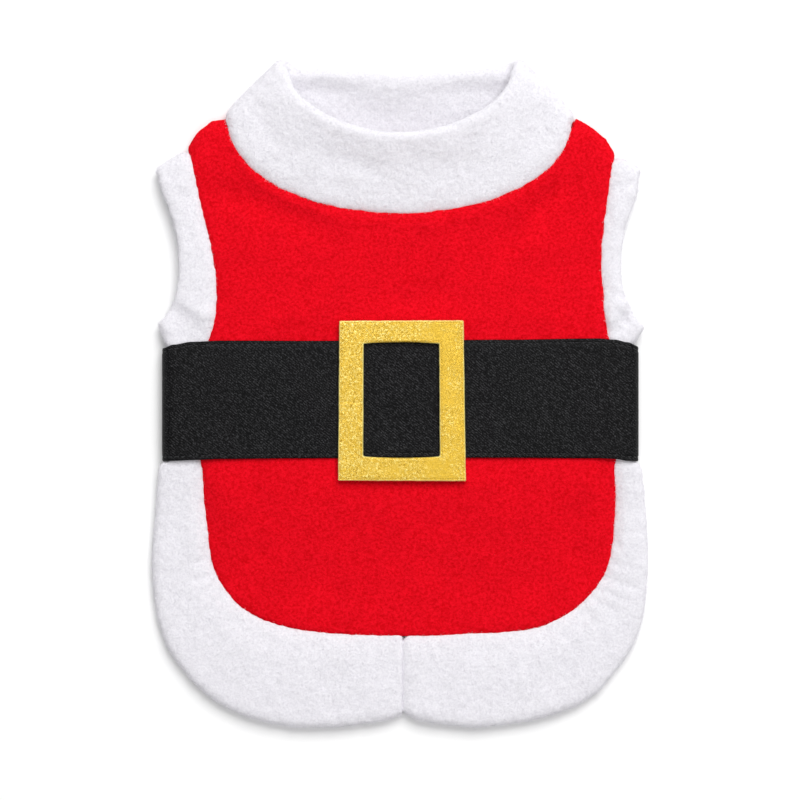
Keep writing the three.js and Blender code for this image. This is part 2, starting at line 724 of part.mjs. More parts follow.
const suit = new THREE.Group();
suit.add(
  piece("back_panel", backPanel(), RED, 0.95),
  piece("belly_panel", bellyPanel(), RED, 0.95),
  piece("collar", collar(), WHITE, 0.97),
  piece("arm_trim_left", armholeTrim("left"), WHITE, 0.97),
  piece("arm_trim_right", armholeTrim("right"), WHITE, 0.97),
  piece("hem_trim_left", hemTrim("left"), WHITE, 0.97),
  piece("hem_trim_right", hemTrim("right"), WHITE, 0.97),
  piece("belt", belt(), BLACK, 0.6),
  piece("buckle", buckle(), GOLD, 0.35, 0.8),
);

export default suit;
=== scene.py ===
"""A Santa suit for a small dog, laid flat: fleece, plush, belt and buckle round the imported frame."""

import math
import random

import bmesh
import bpy
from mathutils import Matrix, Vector, noise
from mathutils.bvhtree import BVHTree


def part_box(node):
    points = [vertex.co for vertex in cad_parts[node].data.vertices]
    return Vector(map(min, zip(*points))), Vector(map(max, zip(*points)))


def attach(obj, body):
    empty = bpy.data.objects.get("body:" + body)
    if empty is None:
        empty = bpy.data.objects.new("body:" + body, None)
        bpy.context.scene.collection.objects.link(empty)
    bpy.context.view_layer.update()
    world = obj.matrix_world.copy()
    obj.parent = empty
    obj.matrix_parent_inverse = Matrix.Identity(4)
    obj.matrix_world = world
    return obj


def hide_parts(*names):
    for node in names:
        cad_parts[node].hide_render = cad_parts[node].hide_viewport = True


bl_info = {
    "name": "Dog Santa suit",
    "version": (1, 0, 0),
    "blender": (4, 5, 0),
    "location": "View3D > Sidebar > Santa suit",
    "description": "Builds the cloth, pile, belt, buckle and stage of a dog's Santa suit laid flat",
    "category": "Add Mesh",
}

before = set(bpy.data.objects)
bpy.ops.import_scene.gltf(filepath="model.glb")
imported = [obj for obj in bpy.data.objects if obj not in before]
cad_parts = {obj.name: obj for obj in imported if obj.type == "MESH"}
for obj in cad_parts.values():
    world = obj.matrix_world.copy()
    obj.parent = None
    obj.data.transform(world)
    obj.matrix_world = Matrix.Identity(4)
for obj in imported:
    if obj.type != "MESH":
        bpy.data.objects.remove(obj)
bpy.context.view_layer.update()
BELT_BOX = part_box("belt")
MM = 0.001
# Points of a mesh that are closer than this are one point
WELD = 0.005 * MM


def linear(hex_colour):
    """Turns an sRGB hex colour into linear red, green and blue."""
    channels = [int(hex_colour[start:start + 2], 16) / 255 for start in (1, 3, 5)]
    return [c / 12.92 if c <= 0.04045 else ((c + 0.055) / 1.055) ** 2.4 for c in channels]


def length(name, default, description):
    """A length in metres that a user may change."""
    return bpy.props.FloatProperty(
        name=name, default=default, description=description, unit="LENGTH", precision=5
    )


def colour(name, default, description):
    """A colour that a user may change, given as sRGB hex."""
    return bpy.props.FloatVectorProperty(
        name=name, default=linear(default), description=description, subtype="COLOR", size=3
    )


class SuitSizes(bpy.types.PropertyGroup):
    """Sizes of the suit's cloth and of the detail on it."""

    back_step: length("Back mesh step", 1.05 * MM, "Face size of the back panel")
    belly_step: length("Belly mesh step", 2 * MM, "Face size of the hidden belly panel")
    plush_step: length("Plush mesh step", 0.9 * MM, "Face size of the plush pieces")
    foil_step: length("Foil mesh step", 0.36 * MM, "Face size of the buckle")
    nap: length("Nap size", 2.2 * MM, "Size of the soft lumps in the brushed fleece")
    tuft: length("Tuft size", 2.6 * MM, "Size of the soft lumps in the plush")
    pile: length("Pile length", 1.3 * MM, "Length of a plush fibre that stands free")
    fibre: length("Fibre width", 0.11 * MM, "Width of a tuft of fibres at its root")
    twill: length("Twill pitch", 0.95 * MM, "From rib to rib of the belt's weave")
    stitch: length("Stitch length", 2.7 * MM, "From stitch to stitch along the belt")
    hem: length("Belt hem", 1.7 * MM, "From the belt's edge to its row of stitches")
    belt_thick: length("Belt thickness", 1.3 * MM, "Thickness of the doubled satin")


class SuitColours(bpy.types.PropertyGroup):
    """Colours of the suit."""

    # The lit and shaded colours of the fleece and the plush are painted light on the lumps of their
    # nap and painted shade between them.
    red: colour("Red", "#f70f24", "Lit fleece")
    red_shade: colour("Deep red", "#d0030e", "Fleece between the lumps of the nap")
    white: colour("White", "#f8f6fb", "Lit plush")
    white_shade: colour("Shaded white", "#e8e6ec", "Plush between its tufts")
    black: colour("Black", "#020203", "Satin between the ribs of the twill")
    # Rib black is painted sheen, on the satin's twill ribs and along the thread's twist.
    black_rib_sheen: colour("Rib black", "#414143", "Ribs of the twill")
    gold: colour("Gold", "#e3b935", "Foil")
    # Bright gold is painted highlight, on the grain's peaks and along the cut edges; deep gold is
    # painted shade, in the grain's creases and the pressed dots.
    gold_highlight: colour("Bright gold", "#fff29a", "Foil where it is rubbed bright, and its cut edges")
    gold_shade: colour("Deep gold", "#8e6410", "Foil in the creases of its grain")
    floor: colour("Floor", "#ffffff", "The pale surface that the suit lies on")


def add_node(tree, kind, settings=None, values=None, links=None):
    """Adds a node with its settings, its sockets' values and the sockets that feed it."""
    node = tree.nodes.new(kind)
    for name, value in (settings or {}).items():
        setattr(node, name, value)
    for name, value in (values or {}).items():
        node.inputs[name].default_value = value
    for name, socket in (links or {}).items():
        tree.links.new(socket, node.inputs[name])
    return node


def new_material(name):
    """An empty node material with its output, and the object coordinates that its patterns read."""
    material = bpy.data.materials.new(name)
    material.use_nodes = True
    tree = material.node_tree
    tree.nodes.clear()
    output = add_node(tree, "ShaderNodeOutputMaterial")
    place = add_node(tree, "ShaderNodeTexCoord").outputs["Object"]
    return material, tree, output, place


def opaque(rgb):
    """A colour socket's value."""
    return (*rgb, 1.0)


def brushed_fleece(name, lit, deep, lump, fuzz, fleck):
    """Polyester fleece, knitted and then brushed into a short matt nap: soft mottles with painted
    light on the lumps and painted shade between them, no gloss.
    """
    material, tree, output, place = new_material(name)
    lumps = add_node(
        tree, "ShaderNodeTexNoise", None,
        {"Scale": 1 / lump, "Detail": 3.0, "Roughness": 0.62, "Distortion": 0.4},
        {"Vector": place},
    )
    fibres = add_node(
        tree, "ShaderNodeTexNoise", None,
        {"Scale": 3.1 / lump, "Detail": 2.0, "Roughness": 0.7, "Distortion": 1.6},
        {"Vector": place},
    )
    broad = add_node(
        tree, "ShaderNodeTexNoise", None,
        {"Scale": 0.11 / lump, "Detail": 2.0, "Roughness": 0.5},
        {"Vector": place},
    )
    mottle = add_node(
        tree, "ShaderNodeMath", {"operation": "MULTIPLY_ADD"}, {1: 0.55},
        {0: fibres.outputs["Fac"], 2: lumps.outputs["Fac"]},
    )
    share = add_node(
        tree, "ShaderNodeMapRange", {"interpolation_type": "SMOOTHSTEP"},
        {"From Min": 0.55, "From Max": 0.98},
        {"Value": mottle.outputs[0]},
    )
    # Painted light and shade: the lit colour goes on the lumps of the nap and the shaded one between
    # them, following the same pattern as the bump.
    paint = add_node(
        tree, "ShaderNodeMix", {"data_type": "RGBA"},
        {"A": opaque(deep), "B": opaque(lit)},
        {"Factor": share.outputs[0]},
    )
    drift = add_node(
        tree, "ShaderNodeMapRange", None,
        {"From Min": 0.3, "From Max": 0.7, "To Min": 1 - fleck, "To Max": 1.0},
        {"Value": broad.outputs["Fac"]},
    )
    shaded = add_node(
        tree, "ShaderNodeHueSaturation", None, None,
        {"Color": paint.outputs["Result"], "Value": drift.outputs[0]},
    )
    bump = add_node(
        tree, "ShaderNodeBump", None, {"Strength": 0.75, "Distance": 0.35 * MM},
        {"Height": mottle.outputs[0]},
    )
    cloth = add_node(
        tree, "ShaderNodeBsdfPrincipled", None,
        {
            "Roughness": 0.95,
            "Specular IOR Level": 0.05,
            "Sheen Weight": fuzz,
            "Sheen Roughness": 0.6,
            "Sheen Tint": opaque(lit),
        },
        {"Base Color": shaded.outputs["Color"], "Normal": bump.outputs["Normal"]},
    )
    tree.links.new(cloth.outputs["BSDF"], output.inputs["Surface"])
    return material


def black_satin(sizes, colours):
    """Polyester satin ribbon, woven in a fine twill: dull black with a broken diagonal sheen, painted
    as lighter ribs.
    """
    material, tree, output, place = new_material("black_twill_satin")
    turned = add_node(
        tree, "ShaderNodeMapping", None, {"Rotation": (0.0, 0.0, math.radians(-52))},
        {"Vector": place},
    )
    ribs = add_node(
        tree, "ShaderNodeTexWave", {"wave_type": "BANDS", "bands_direction": "X"},
        {
            "Scale": 0.314 / sizes.twill,
            "Distortion": 3.5,
            "Detail": 2.0,
            "Detail Scale": 1.6,
            "Detail Roughness": 0.8,
        },
        {"Vector": turned.outputs["Vector"]},
    )
    floats = add_node(
        tree, "ShaderNodeMapping", None, {"Scale": (1.0, 0.4, 1.0)},
        {"Vector": turned.outputs["Vector"]},
    )
    threads = add_node(
        tree, "ShaderNodeTexNoise", None,
        {"Scale": 2.4 / sizes.twill, "Detail": 2.0, "Roughness": 0.9},
        {"Vector": floats.outputs["Vector"]},
    )
    weave = add_node(
        tree, "ShaderNodeMath", {"operation": "MULTIPLY_ADD"}, {1: 0.11},
        {0: ribs.outputs["Fac"], 2: threads.outputs["Fac"]},
    )
    share = add_node(
        tree, "ShaderNodeMapRange", {"interpolation_type": "SMOOTHSTEP"},
        {"From Min": 0.53, "From Max": 0.8},
        {"Value": weave.outputs[0]},
    )
    # Painted sheen: the ribs of the twill get the lighter rib black.
    paint = add_node(
        tree, "ShaderNodeMix", {"data_type": "RGBA"},
        {"A": opaque(colours.black), "B": opaque(colours.black_rib_sheen)},
        {"Factor": share.outputs[0]},
    )
    bump = add_node(
        tree, "ShaderNodeBump", None, {"Strength": 0.8, "Distance": 0.16 * MM},
        {"Height": weave.outputs[0]},
    )
    cloth = add_node(
        tree, "ShaderNodeBsdfPrincipled", None,
        {"Roughness": 0.55, "Specular IOR Level": 0.1},
        {"Base Color": paint.outputs["Result"], "Normal": bump.outputs["Normal"]},
    )
    tree.links.new(cloth.outputs["BSDF"], output.inputs["Surface"])
    return material


def thread(colours):
    """Spun polyester sewing thread, black and slightly shiny, with painted sheen along its twist."""
    material, tree, output, place = new_material("black_sewing_thread")
    twist = add_node(
        tree, "ShaderNodeTexNoise", None, {"Scale": 2500.0, "Detail": 1.0}, {"Vector": place}
    )
    # Painted sheen along the thread's twist, in the rib black.
    paint = add_node(
        tree, "ShaderNodeMix", {"data_type": "RGBA"},
        {"A": opaque(colours.black), "B": opaque(colours.black_rib_sheen)},
        {"Factor": twist.outputs["Fac"]},
    )
    spun = add_node(
        tree, "ShaderNodeBsdfPrincipled", None, {"Roughness": 0.5, "Specular IOR Level": 0.4},
        {"Base Color": paint.outputs["Result"]},
    )
    tree.links.new(spun.outputs["BSDF"], output.inputs["Surface"])
    return material


def share_of(tree, socket, low, high, most=1.0):
    """A smooth share from 0 at low to most at high."""
    share = add_node(
        tree, "ShaderNodeMapRange", {"interpolation_type": "SMOOTHSTEP"},
        {"From Min": low, "From Max": high, "To Max": most},
        {"Value": socket},
    )
    return share.outputs[0]


def product(tree, first, second):
    """Two values multiplied."""
    times = add_node(
        tree, "ShaderNodeMath", {"operation": "MULTIPLY"}, None, {0: first, 1: second}
    )
    return times.outputs[0]


def painted(tree, under, rgb, share):
    """A colour laid over another one by a share."""
    mix = add_node(
        tree, "ShaderNodeMix", {"data_type": "RGBA"}, {"B": opaque(rgb)},
        {"A": under, "Factor": share},
    )
    return mix.outputs["Result"]


# The buckle's row of pressed dots, painted in shade: from its cut edge, from dot to dot, and how
# softly they end
DOT_INSET = 1.0 * MM
DOT_PITCH = 1.1 * MM
DOT_SOFTNESS = 0.3 * MM
# The painted highlight along the cut edge: full up to the first distance from the outline, gone at the
# second
EDGE_HIGHLIGHT_FULL = 0.2 * MM
EDGE_HIGHLIGHT_GONE = 0.5 * MM
# The painted highlights and shade in the grain grow toward the left side: they start at the first X
# and are full at the second
GLINT_START = 24 * MM
GLINT_FULL = -20 * MM


def gold_foil(colours):
    """Metallised foil, hot-pressed on felt: a leathery grain with painted highlights on its peaks and
    painted shade in its creases, strongest toward the left, and a painted highlight along its cut
    edges.
    """
    material, tree, output, place = new_material("gold_foil_on_felt")
    grain = add_node(
        tree, "ShaderNodeTexNoise", None,
        {"Scale": 1150.0, "Detail": 3.0, "Roughness": 0.8, "Distortion": 1.2},
        {"Vector": place},
    ).outputs["Fac"]
    glinting = add_node(
        tree, "ShaderNodeTexNoise", None,
        {"Scale": 85.0, "Detail": 3.0, "Roughness": 0.6},
        {"Vector": place},
    ).outputs["Fac"]
    sides = add_node(tree, "ShaderNodeSeparateXYZ", None, None, {"Vector": place})
    left = share_of(tree, sides.outputs["X"], GLINT_START, GLINT_FULL)
    glint_strength = add_node(
        tree, "ShaderNodeMath", {"operation": "MULTIPLY_ADD"}, {1: 0.22}, {0: left, 2: glinting}
    ).outputs[0]
    shade_strength = share_of(tree, glint_strength, 0.4, 0.75)
    base = add_node(tree, "ShaderNodeRGB").outputs[0]
    base.default_value = opaque(colours.gold)
    # Painted highlight on the grain's peaks and painted shade in its creases, stronger toward the left
    # and in broad patches.
    lit = product(tree, share_of(tree, grain, 0.5, 0.66), share_of(tree, glint_strength, 0.3, 0.75))
    sunk = product(tree, share_of(tree, grain, 0.48, 0.34, 0.8), shade_strength)
    paint = painted(tree, base, colours.gold_highlight, lit)
    paint = painted(tree, paint, colours.gold_shade, sunk)
    # The foil was cut through: a painted highlight runs along both outlines, with painted shade in a
    # row of pressed dots inside.
    inset = add_node(tree, "ShaderNodeAttribute", {"attribute_name": "inset"}).outputs["Fac"]
    along = add_node(
        tree, "ShaderNodeVectorMath", {"operation": "DOT_PRODUCT"},
        {1: (2 * math.pi / DOT_PITCH, 2 * math.pi / DOT_PITCH, 0.0)},
        {0: place},
    ).outputs["Value"]
    beat = add_node(tree, "ShaderNodeMath", {"operation": "SINE"}, None, {0: along}).outputs[0]
    near = share_of(tree, inset, DOT_INSET - DOT_SOFTNESS, DOT_INSET)
    far = share_of(tree, inset, DOT_INSET + DOT_SOFTNESS, DOT_INSET)
    dots = product(tree, product(tree, near, far), share_of(tree, beat, -0.2, 0.6, 0.5))
    # Painted shade in the pressed dots.
    paint = painted(tree, paint, colours.gold_shade, dots)
    edge_highlight = share_of(tree, inset, EDGE_HIGHLIGHT_GONE, EDGE_HIGHLIGHT_FULL, 0.9)
    paint = painted(tree, paint, colours.gold_highlight, edge_highlight)
    bump = add_node(
        tree, "ShaderNodeBump", None, {"Strength": 0.9, "Distance": 0.3 * MM}, {"Height": grain}
    )
    foil = add_node(
        tree, "ShaderNodeBsdfPrincipled", None, {"Metallic": 0.5, "Roughness": 0.36},
        {"Base Color": paint, "Normal": bump.outputs["Normal"]},
    )
    tree.links.new(foil.outputs["BSDF"], output.inputs["Surface"])
    return material


def paper(colours):
    """Matt white studio paper: plain, with no pattern to draw the eye."""
    material, tree, output, place = new_material("matt_studio_paper")
    tooth = add_node(
        tree, "ShaderNodeTexNoise", None, {"Scale": 900.0, "Detail": 2.0}, {"Vector": place}
    )
    bump = add_node(
        tree, "ShaderNodeBump", None, {"Strength": 0.05, "Distance": 0.05 * MM},
        {"Height": tooth.outputs["Fac"]},
    )
    sheet = add_node(
        tree, "ShaderNodeBsdfPrincipled", None,
        {
            "Base Color": opaque(colours.floor),
            "Roughness": 1.0,
            "Specular IOR Level": 0.0,
        },
        {"Normal": bump.outputs["Normal"]},
    )
    tree.links.new(sheet.outputs["BSDF"], output.inputs["Surface"])
    return material


def cloth_material(kind, scene):
    """The named finish, made once and shared by the pieces that have it."""
    if kind in bpy.data.materials:
        return bpy.data.materials[kind]
    sizes, colours = scene.suit_sizes, scene.suit_colours
    if kind == "red_brushed_fleece":
        return brushed_fleece(
            kind, colours.red, colours.red_shade, lump=1.15 * MM, fuzz=0.03, fleck=0.08
        )
    if kind == "white_brushed_plush":
        return brushed_fleece(
            kind, colours.white, colours.white_shade, lump=0.95 * MM, fuzz=0.4, fleck=0.03
        )
    if kind == "black_twill_satin":
        return black_satin(sizes, colours)
    if kind == "black_sewing_thread":
        return thread(colours)
    if kind == "gold_foil_on_felt":
        return gold_foil(colours)
    return paper(colours)


# Soft troughs: middle, length, turn from X in degrees, half width and depth, in millimetres
BACK_TROUGHS = [
    {"x": -56, "y": 79, "length": 52, "turn": -18, "width": 6, "depth": 1.0},
    {"x": 58, "y": 76, "length": 46, "turn": 40, "width": 6, "depth": 1.0},
    {"x": 75, "y": -60, "length": 36, "turn": 88, "width": 5, "depth": 0.9},
    {"x": 6, "y": 40, "length": 34, "turn": 4, "width": 6, "depth": 0.8},
    {"x": -40, "y": 52, "length": 46, "turn": 62, "width": 7, "depth": 0.35},
    {"x": 34, "y": 58, "length": 38, "turn": -50, "width": 7, "depth": 0.35},
    {"x": -52, "y": -62, "length": 40, "turn": 70, "width": 7, "depth": 0.35},
    {"x": 12, "y": -72, "length": 50, "turn": -8, "width": 7, "depth": 0.3},
]
BELLY_TROUGHS = [
    {"x": -50, "y": 70, "length": 50, "turn": 28, "width": 6, "depth": 0.5},
    {"x": 44, "y": 64, "length": 44, "turn": -36, "width": 6, "depth": 0.5},
    {"x": 4, "y": 92, "length": 36, "turn": 3, "width": 5, "depth": 0.4},
]
COLLAR_TROUGHS = [
    {"x": -57, "y": 113, "length": 26, "turn": 118, "width": 5, "depth": 0.7},
    {"x": 58, "y": 112, "length": 26, "turn": 60, "width": 5, "depth": 0.7},
    {"x": -22, "y": 97, "length": 30, "turn": -12, "width": 5, "depth": 0.4},
    {"x": 26, "y": 96, "length": 26, "turn": 14, "width": 5, "depth": 0.4},
]
# The neck: half its width, its far and near edge, where the collar's upper half hides its lower
# layer, the height that the lower layer stays under, and how far it sinks, all in millimetres.
# The rest are shares: where the sinking starts, how long it grows, how fast it fades sideways, and
# how far in from the far rim it is held back.
THROAT = {
    "half": 46, "far": 136, "near": 111, "hidden": 100, "below": 9, "sink": 4.2,
    "start": 0.1, "growth": 0.8, "sideways": 0.6, "lip": 0.35,
}
ARM_TROUGHS = [
    {"x": -91, "y": 41, "length": 13, "turn": 24, "width": 2.4, "depth": 0.12},
    {"x": -89, "y": 33, "length": 15, "turn": 40, "width": 2.6, "depth": 0.14},
    {"x": -90, "y": 84, "length": 12, "turn": -8, "width": 2, "depth": 0.4},
    {"x": 92, "y": 42, "length": 9, "turn": -20, "width": 1.5, "depth": 0.5},
    {"x": 94, "y": 33, "length": 10, "turn": -44, "width": 1.6, "depth": 0.6},
    {"x": 95, "y": 88, "length": 9, "turn": 10, "width": 2, "depth": 0.4},
]
# Small creases that fan out from the tail's inner corners: centre, first and last angle in degrees,
# nearest and farthest end in millimetres, and how many
HEM_FANS = [
    {"x": -46, "y": -64, "first": 186, "last": 262, "near": 36, "far": 52, "count": 8},
    {"x": 54, "y": -64, "first": 278, "last": 354, "near": 36, "far": 52, "count": 8},
]


def fan_creases(fan, draw):
    """Short uneven creases across a curved binding."""
    rows = []
    for i in range(fan["count"]):
        share = (i + draw.uniform(0.25, 0.75)) / fan["count"]
        turn = fan["first"] + (fan["last"] - fan["first"]) * share
        reach = draw.uniform(0.55, 1.0) * (fan["far"] - fan["near"])
        middle = fan["near"] + reach / 2
        rows.append(
            {
                "x": fan["x"] + middle * math.cos(math.radians(turn)),
                "y": fan["y"] + middle * math.sin(math.radians(turn)),
                "length": reach,
                "turn": turn + draw.uniform(-9, 9),
                "width": draw.uniform(1.3, 2.1),
                "depth": draw.uniform(0.25, 0.6),
            }
        )
    return rows


def trough_depth(rows, co):
    """How deep the soft troughs are at a place, in metres. Each one is cut off where it is level."""
    depth = 0.0
    for row in rows:
        dx = co.x / MM - row["x"]
        dy = co.y / MM - row["y"]
        turn = math.radians(row["turn"])
        along = (dx * math.cos(turn) + dy * math.sin(turn)) / (row["length"] / 2)
        across = (dy * math.cos(turn) - dx * math.sin(turn)) / row["width"]
        if abs(along) < 2 and abs(across) < 3:
            depth += row["depth"] * math.exp(-(along**4) - across**2)
    return depth * MM


def new_piece(name, mesh, material):
    """An object at the origin, with its place in its mesh."""
    piece = bpy.data.objects.new(name, mesh)
    bpy.context.scene.collection.objects.link(piece)
    mesh.materials.clear()
    mesh.materials.append(material)
    return piece


def applied(piece):
    """Replaces a piece's mesh by what its modifiers make of it."""
    bpy.context.view_layer.update()
    made = bpy.data.meshes.new_from_object(
        piece.evaluated_get(bpy.context.evaluated_depsgraph_get())
    )
    piece.modifiers.clear()
    piece.data = made


def cloth_from(node, name, material, step, rounds, swell):
    """A finer cloth on a solid's form: merged, remeshed evenly, smoothed and swollen a little."""
    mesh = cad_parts[node].data.copy()
    shell = bmesh.new()
    shell.from_mesh(mesh)
    bmesh.ops.remove_doubles(shell, verts=shell.verts, dist=WELD)
    shell.to_mesh(mesh)
    shell.free()
    piece = new_piece(name, mesh, material)
    remesh = piece.modifiers.new("even faces", "REMESH")
    remesh.mode = "VOXEL"
    remesh.voxel_size = step
    applied(piece)
    fine = bmesh.new()
    fine.from_mesh(piece.data)
    for _ in range(rounds):
        bmesh.ops.smooth_vert(
            fine, verts=fine.verts, factor=0.5, use_axis_x=True, use_axis_y=True, use_axis_z=True
        )
    fine.normal_update()
    for vert in fine.verts:
        vert.co += vert.normal * swell
    fine.to_mesh(piece.data)
    fine.free()
    return piece


# Soft lumps in each surface: their size and how high they rise
TUFT_HEIGHT = 0.24 * MM
CURLS = {"size": 1.3 * MM, "height": 0.2 * MM}
PLUSH_SWELL = {"size": 11 * MM, "height": 0.35 * MM}
NAP_HEIGHT = 0.1 * MM
FLEECE_WAVE = {"size": 4.5 * MM, "height": 0.1 * MM}
FLEECE_SWELL = {"size": 26 * MM, "height": 0.3 * MM}
BELT_SWELL = {"size": 24 * MM, "height": 0.22 * MM}
BELT_WAVE = {"size": 9 * MM, "height": 0.06 * MM}
FOIL_GRAIN = {"size": 1.1 * MM, "height": 0.05 * MM}
FOIL_WAVE = {"size": 6 * MM, "height": 0.1 * MM}


def lumps(co, size, height):
    """Soft lumps of one size, in metres."""
    return height * noise.noise(co / size)


def eased(share):
    """A share from 0 to 1 that starts and ends softly."""
    return share * share * (3 - 2 * share)


def relieve(piece, height):
    """Moves each point along its normal by height(point, normal), but not into the floor."""
    fine = bmesh.new()
    fine.from_mesh(piece.data)
    fine.normal_update()
    moves = [vert.normal * height(vert.co, vert.normal) for vert in fine.verts]
    for vert, move in zip(fine.verts, moves):
        vert.co += move
        vert.co.z = max(vert.co.z, 0.0)
    for face in fine.faces:
        face.smooth = True
    fine.to_mesh(piece.data)
    fine.free()
    piece.data.update()


# Seams: how near a neighbour draws the plush to it, over what share of that the pull grows, how far
# the plush laps over the neighbour, and how the ridge is softened
SEAM_REACH = 3.0 * MM
SEAM_GROWTH = 0.5
SEAM_OVERLAP = 0.8 * MM
RIDGE_RINGS = 3
RIDGE_ROUNDS = 4
RIDGE_SOFTNESS = 0.4


def search_trees(names):
    """Search trees of finished pieces, which a plush piece is sewn to."""
    trees = []
    for name in names:
        mesh = bpy.data.objects[name].data
        places = [vert.co.copy() for vert in mesh.vertices]
        trees.append(BVHTree.FromPolygons(places, [tuple(face.vertices) for face in mesh.polygons]))
    return trees


def seam_bulge(co, normal, trees):
    """How a point of the plush moves sideways, so that it laps over the neighbours it is sewn to."""
    bulge = Vector()
    for tree in trees:
        place, _, _, gap = tree.find_nearest(co, SEAM_REACH)
        if place is not None and gap > 0:
            facing = max((place - co).dot(normal) / gap, 0.0)
            pull = min((SEAM_REACH - gap) / (SEAM_GROWTH * SEAM_REACH), 1.0)
            sideways = Vector(((place - co).x, (place - co).y, 0.0)) / gap
            move = sideways * facing * pull * (gap + SEAM_OVERLAP)
            bulge = max(bulge, move, key=lambda way: way.length)
    return bulge


def throat_dip(co):
    """How far the collar's lower layer sinks inside the neck, deepest under the front rim."""
    if co.z > THROAT["below"] * MM or co.y < THROAT["hidden"] * MM:
        return 0.0
    across = co.x / MM / THROAT["half"]
    toward = max((THROAT["far"] - co.y / MM) / (THROAT["far"] - THROAT["near"]), 0.0)
    inside = (math.hypot(across, toward) - THROAT["start"]) / THROAT["growth"]
    sunk = eased(min(max(inside, 0.0), 1.0)) * eased(min(toward / THROAT["lip"], 1.0))
    return THROAT["sink"] * MM * sunk * max(1 - THROAT["sideways"] * across**2, 0.0)


def close_seams(piece, trees):
    """Bulges a piece at its seams, and softens the ridge that this leaves."""
    fine = bmesh.new()
    fine.from_mesh(piece.data)
    fine.normal_update()
    bulges = [seam_bulge(vert.co, vert.normal, trees) for vert in fine.verts]
    for vert, bulge in zip(fine.verts, bulges):
        vert.co += bulge
    ridge = {vert for vert, bulge in zip(fine.verts, bulges) if bulge.length > 0}
    for _ in range(RIDGE_RINGS):
        ridge |= {edge.other_vert(vert) for vert in ridge for edge in vert.link_edges}
    for _ in range(RIDGE_ROUNDS):
        bmesh.ops.smooth_vert(
            fine, verts=list(ridge), factor=RIDGE_SOFTNESS,
            use_axis_x=True, use_axis_y=True, use_axis_z=True,
        )
    fine.to_mesh(piece.data)
    fine.free()


def plush_height(sizes, troughs):
    """Soft tufts, broad unevenness and the piece's creases."""

    def height(co, normal):
        tufts = lumps(co, sizes.tuft, TUFT_HEIGHT) + lumps(co, **CURLS)
        broad = lumps(co, **PLUSH_SWELL)
        creases = (trough_depth(troughs, co) + throat_dip(co)) * max(normal.z, 0.0)
        return tufts + broad - creases

    return height


# The binding springs out below the belt: how far, over what length, how far under the belt's edge
# it starts, and the distances from the middle where it begins and is full
FLARE_OUT = 1.3 * MM
FLARE_LENGTH = 8 * MM
FLARE_GAP = 0.4 * MM
FLARE_INNER = 90 * MM
FLARE_OUTER = 100 * MM


def flare_below_belt(piece):
    """Lets the tail's binding spring out again where it comes from under the belt."""
    for vert in piece.data.vertices:
        below = belt_edge(vert.co.x, "far") - FLARE_GAP - vert.co.y
        outer = (abs(vert.co.x) - FLARE_INNER) / (FLARE_OUTER - FLARE_INNER)
        if 0 < below < FLARE_LENGTH and outer > 0:
            flare = FLARE_OUT * (1 - below / FLARE_LENGTH) * min(outer, 1)
            vert.co.x += math.copysign(flare, vert.co.x)


def fleece_height(sizes, troughs):
    """A low nap, broad unevenness and the panel's troughs, on its upper face."""

    def height(co, normal):
        nap = lumps(co, sizes.nap, NAP_HEIGHT) + lumps(co, **FLEECE_WAVE)
        broad = lumps(co, **FLEECE_SWELL)
        return nap + (broad - trough_depth(troughs, co)) * max(normal.z, 0.0)

    return height


# The pile: the lowest upward part of the normal that a fibre grows on, how far the fibres lean in
# radians, their least and greatest size as shares of the stated length, and the radius of a tip
PILE_LOWEST = -0.35
PILE_LEAN = 0.95
PILE_LEAST = 0.45
PILE_GREATEST = 1.1
FIBRE_TIP = 0.02 * MM


